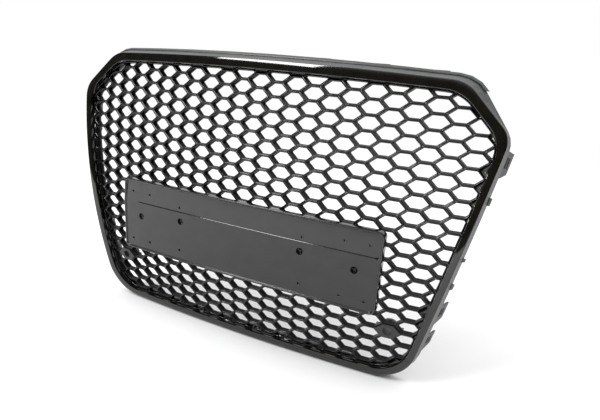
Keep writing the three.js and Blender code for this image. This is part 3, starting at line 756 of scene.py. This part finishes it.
def plate_base():
    points, faces = [], []
    front_loops, back_loops = [], []
    taken = []

    def add_section(section, outwards=True):
        rings = [[(p.x, depth(p.x, p.y), p.y) for p in loop] for loop, depth in section]
        return join_rings(points, faces, rings, outwards)

    rim = rim_section()
    back_start, face_start = add_section(rim, False)
    back_loops.append((back_start, rim[0][0]))
    front_loops.append((face_start, rim[-1][0]))

    for hole_x, z in PLATE_HOLES:
        for x in (hole_x, -hole_x):
            section = hole_section(x, z)
            start, end = add_section(section)
            faces.append(tuple(range(end, end + HOLE_STEPS)))
            front_loops.append((start, section[0][0]))
            taken.append((x, z, PLATE_HOLE_RADIUS + HOLE_ROUNDING))
    for x, z in PLATE_SCREWS:
        section = recess_section(x, z)
        start, end = add_section(section)
        front_loops.append((start, section[0][0]))
        back_loops.append((end, section[-1][0]))
        taken.append((x, z, POST_RADIUS + 0.2))

    free_front, free_back = [], []
    rows = face_rows()
    for column in range(-COLUMNS_EACH_WAY, COLUMNS_EACH_WAY + 1):
        x = column * COLUMN_STEP
        for z in rows:
            if any(math.hypot(x - tx, z - tz) < reach + HOLE_MARGIN for tx, tz, reach in taken):
                continue
            free_front.append((len(points), Vector((x, z))))
            points.append((x, plate_face(x, z), z))
            if column % BACK_COLUMN == 0:
                free_back.append((len(points), Vector((x, z))))
                points.append((x, back_of_face(x, z), z))
    faces.extend(sheet_faces(front_loops, False, free_front))
    faces.extend(sheet_faces(back_loops, True, free_back))
    piece = make_object("plate_base_fine", points, faces, PLATE_BLACK, "plate_base")
    keep_edges_crisp(piece, 50)


honeycomb_mesh()
surround_trim()
plate_base()

# ---- Carried-over CAD nodes ------------------------------------------------------------------

EDGE_ROUNDING = 0.25
ROUNDED_ANGLE = 40.0  # edges sharper than this many degrees are rounded
REPLACED = ("honeycomb_mesh", "surround_trim", "plate_base")
finish_of = {part["node"]: part["material_slot"] for part in frame["record"]["subparts"]}
for name, node in frame["nodes"].items():
    node.data.materials.clear()
    node.data.materials.append(SLOT_FINISH[finish_of[name]])
    if name not in REPLACED:
        edge = node.modifiers.new("edge", "BEVEL")
        edge.width = EDGE_ROUNDING * MM
        edge.segments = 2
        edge.limit_method = "ANGLE"
        edge.angle_limit = math.radians(ROUNDED_ANGLE)


# ---- Studio ----------------------------------------------------------------------------------

# Metres, as Blender has them.
FLOOR_FRONT = -1.5  # the paper ends here in front of the grille
FLOOR_BACK = 7.0
FLOOR_HALF_WIDTH = 5.0
FLOOR_GAP = 0.0005
KEY_AT = (-1.3, -2.1, 1.9)
KEY_SIZE = (1.1, 1.1)
KEY_POWER = 75
WALL_LIGHT = (0.9, 0.9, 0.9)
DARK_LIGHT = (0.055, 0.053, 0.042)
CEILING_LIGHT = (1.7, 1.7, 1.7)
CAMERA_AT = (0.4170, -0.7086, 0.2015)
CAMERA_FORWARD = (-0.386, 0.893, -0.231)
CAMERA_UP = (-0.191, 0.167, 0.967)
CAMERA_LENS = 28.2


def floor():
    level = cad_low.z - FLOOR_GAP
    half = FLOOR_HALF_WIDTH
    front, back = FLOOR_FRONT, FLOOR_BACK
    corners = [(-half, front, level), (half, front, level), (half, back, level), (-half, back, level)]
    mesh = bpy.data.meshes.new("floor")
    mesh.from_pydata(corners, [], [(0, 1, 2, 3)])
    finish, tree, shader = new_material("floor_paper", specular=0.2)
    tree.links.new(ramp(tree, noise(tree, 3, 2), (0.84, 0.84, 0.845), (0.86, 0.86, 0.865)),
                   shader.inputs["Base Color"])
    shader.inputs["Roughness"].default_value = 0.8
    mesh.materials.append(finish)
    sheet = bpy.data.objects.new("floor", mesh)
    bpy.context.scene.collection.objects.link(sheet)


def area_light(name, at, towards, size, power):
    light = bpy.data.lights.new(name, "AREA")
    light.shape = "RECTANGLE"
    light.size, light.size_y = size
    light.energy = power
    lamp = bpy.data.objects.new(name, light)
    lamp.location = at
    lamp.rotation_mode = "QUATERNION"
    lamp.rotation_quaternion = (Vector(towards) - Vector(at)).to_track_quat("-Z", "Y")
    bpy.context.scene.collection.objects.link(lamp)


def studio():
    """A white room under a bright ceiling, dark beyond the floor's front edge, with one soft lamp."""
    scene = bpy.context.scene
    scene.view_settings.view_transform = "Standard"
    world = bpy.data.worlds.new("studio")
    scene.world = world
    world.use_nodes = True
    tree = world.node_tree
    split = tree.nodes.new("ShaderNodeSeparateXYZ")
    tree.links.new(tree.nodes.new("ShaderNodeTexCoord").outputs["Generated"], split.inputs["Vector"])
    facing = eased(tree, split.outputs["Y"], 0.35, -0.15)
    below_ceiling = eased(tree, split.outputs["Z"], 0.75, 0.35)
    dark_side = times(tree, facing, below_ceiling)
    ceiling = eased(tree, split.outputs["Z"], 0.45, 0.85)
    walls = mixed(tree, dark_side, WALL_LIGHT, DARK_LIGHT)
    room = mixed(tree, ceiling, walls, CEILING_LIGHT)
    seen = tree.nodes.new("ShaderNodeLightPath").outputs["Is Camera Ray"]
    tree.links.new(mixed(tree, seen, room, (1.0, 1.0, 1.0)), tree.nodes["Background"].inputs["Color"])
    tree.nodes["Background"].inputs["Strength"].default_value = 1.0
    floor()
    area_light("key", KEY_AT, (0.0, 0.0, 0.0), KEY_SIZE, KEY_POWER)


def camera():
    data = bpy.data.cameras.new("camera")
    data.sensor_width = 36
    data.lens = CAMERA_LENS
    data.clip_start = 0.02
    lens = bpy.data.objects.new("camera", data)
    forward = Vector(CAMERA_FORWARD).normalized()
    across = forward.cross(Vector(CAMERA_UP)).normalized()
    upright = across.cross(forward)
    turn = Matrix((across, upright, -forward)).transposed().to_4x4()
    lens.matrix_world = Matrix.Translation(CAMERA_AT) @ turn
    bpy.context.scene.collection.objects.link(lens)
    bpy.context.scene.camera = lens


studio()
camera()
